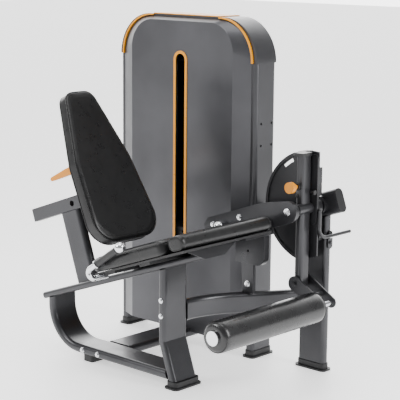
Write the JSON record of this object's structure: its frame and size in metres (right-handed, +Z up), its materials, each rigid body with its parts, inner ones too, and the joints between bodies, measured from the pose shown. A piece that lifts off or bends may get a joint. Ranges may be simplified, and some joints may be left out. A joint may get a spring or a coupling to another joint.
{
  "type": "leg extension machine",
  "caption": "Seated leg extension machine: shrouded weight tower, inclined seat with sliding backrest, and a pivoting leg lever with ankle roller that lifts the weight stack by cable.",
  "frame": {"origin": "centre of the bounding box, on the floor", "axes": "+X the way the user faces, +Y from the seat to the weight tower, +Z up and the longest extent"},
  "size_m": [1.3859, 1.0199, 1.5],
  "materials": {
    "frame_paint": "dark grey metallic powder coat, satin",
    "shroud_paint": "dark grey metallic, satin",
    "orange_trim": "orange yellow gloss",
    "orange_plastic": "orange satin",
    "black_vinyl": "black stitched vinyl, satin",
    "roller_vinyl": "black glossy foam roller skin",
    "black_rubber": "matt",
    "black_plastic": "satin",
    "board_black": "matt black",
    "dark_steel": "black satin",
    "plate_iron": "black, matt",
    "chrome": "polished",
    "cable_black": "nylon coated steel cable"
  },
  "bodies": {
    "frame": {"tower_legs": "frame_paint", "tower_top_arch": "frame_paint", "front_shroud": "shroud_paint", "rear_shroud": "shroud_paint", "top_trim": "orange_trim", "slot_trim": "orange_trim", "stack_crossbars": "frame_paint", "rubber_bumpers": "black_rubber", "resting_plates": "plate_iron", "guide_rods": "chrome", "pulley_mounts": "frame_paint", "drive_cable": "cable_black", "seat_rail": "frame_paint", "j_tube": "frame_paint", "seat_post": "frame_paint", "cross_tube": "frame_paint", "curved_base_tube": "frame_paint", "column": "frame_paint", "pivot_beam": "frame_paint", "tube_plugs": "black_plastic", "side_plate": "frame_paint", "pivot_bearings": "dark_steel", "pivot_shaft": "chrome", "guard_cover": "frame_paint", "seat_strut": "frame_paint", "front_gusset": "frame_paint", "seat_board": "board_black", "seat_cushion": "black_vinyl", "seat_bolster": "black_vinyl", "grab_handles": "chrome", "handle_grips": "black_rubber", "handle_caps": "chrome", "backrest_post": "frame_paint", "stop_bracket": "frame_paint", "rubber_boots": "black_rubber", "frame_bolts": "chrome"},
    "cam": {"cam_disc": "dark_steel", "cam_lever": "dark_steel", "rod_handle": "dark_steel", "cam_cable": "cable_black"},
    "leg_lever": {"leg_arm": "frame_paint", "arm_plug": "black_plastic", "arm_hardware": "black_plastic"},
    "start_pin": {"start_pin": "orange_plastic"},
    "ankle": {"ankle_bracket": "frame_paint", "roller_shaft": "chrome"},
    "roller": {"roller_pad": "roller_vinyl", "roller_caps": "chrome"},
    "backrest": {"backrest_bar": "frame_paint", "backrest_carriage": "frame_paint", "backrest_board": "board_black", "backrest_pad": "black_vinyl"},
    "release": {"release_lever": "orange_plastic"},
    "lifted_stack": {"lifted_plates": "plate_iron", "selector_stem": "chrome", "stack_cable": "cable_black"},
    "selector": {"selector_pin": "orange_plastic"},
    "stack_wheel": {"stack_pulley": "black_plastic"},
    "corner_wheel": {"corner_pulley": "black_plastic"},
    "entry_wheel": {"entry_pulley": "black_plastic"}
  },
  "joints": [
    {"name": "cam_turn", "type": "hinge", "parent": "frame", "child": "cam", "pos_m": [0.51098, 0.289, 0.72796], "axis": [0, -1, 0], "range_deg": [0, 100]},
    {"name": "start_position", "type": "hinge", "parent": "cam", "child": "leg_lever", "pos_m": [0.51098, 0.248, 0.72796], "axis": [0, -1, 0], "range_deg": [0, 45]},
    {"name": "start_pin_pull", "type": "slide", "parent": "leg_lever", "child": "start_pin", "axis": [0, -1, 0], "range_m": [0, 0.009], "stiffness_N_per_m": 900, "springref_m": -0.004},
    {"name": "ankle_tilt", "type": "hinge", "parent": "leg_lever", "child": "ankle", "pos_m": [0.497, 0.248, 0.41], "axis": [0, 1, 0], "range_deg": [-20, 50]},
    {"name": "roller_spin", "type": "hinge", "parent": "ankle", "child": "roller", "pos_m": [0.62898, -0.129, 0.33996], "axis": [0, 1, 0], "continuous": true},
    {"name": "backrest_slide", "type": "slide", "parent": "frame", "child": "backrest", "axis": [0.9426, 0, 0.3338], "range_m": [-0.12, 0]},
    {"name": "release_squeeze", "type": "hinge", "parent": "backrest", "child": "release", "pos_m": [-0.35902, -0.194, 0.86522], "axis": [0, 1, 0], "range_deg": [0, 14], "stiffness_Nm_per_rad": 3, "springref_deg": -20.05},
    {"name": "stack_lift", "type": "slide", "parent": "frame", "child": "lifted_stack", "axis": [0, 0, 1], "range_m": [0, 0.256], "deforming": ["stack_cable"]},
    {"name": "selector_pin_pull", "type": "slide", "parent": "lifted_stack", "child": "selector", "axis": [0, -1, 0], "range_m": [0, 0.125]},
    {"name": "stack_pulley_turn", "type": "hinge", "parent": "frame", "child": "stack_wheel", "pos_m": [-0.173, 0.325, 1.37], "axis": [0, 1, 0], "range_deg": [-5, 355]},
    {"name": "corner_pulley_turn", "type": "hinge", "parent": "frame", "child": "corner_wheel", "pos_m": [-0.012, 0.325, 1.37], "axis": [0, 1, 0], "range_deg": [-5, 355]},
    {"name": "entry_pulley_turn", "type": "hinge", "parent": "frame", "child": "entry_wheel", "pos_m": [0.072, 0.325, 0.62356], "axis": [0, -1, 0], "range_deg": [-5, 355]}
  ],
  "couplings": [
    {"joint": "stack_lift", "follows": "cam_turn", "m_per_rad": 0.1464},
    {"joint": "stack_pulley_turn", "follows": "cam_turn", "ratio": 3.4857},
    {"joint": "corner_pulley_turn", "follows": "cam_turn", "ratio": 3.4857},
    {"joint": "entry_pulley_turn", "follows": "cam_turn", "ratio": 3.4857}
  ]
}
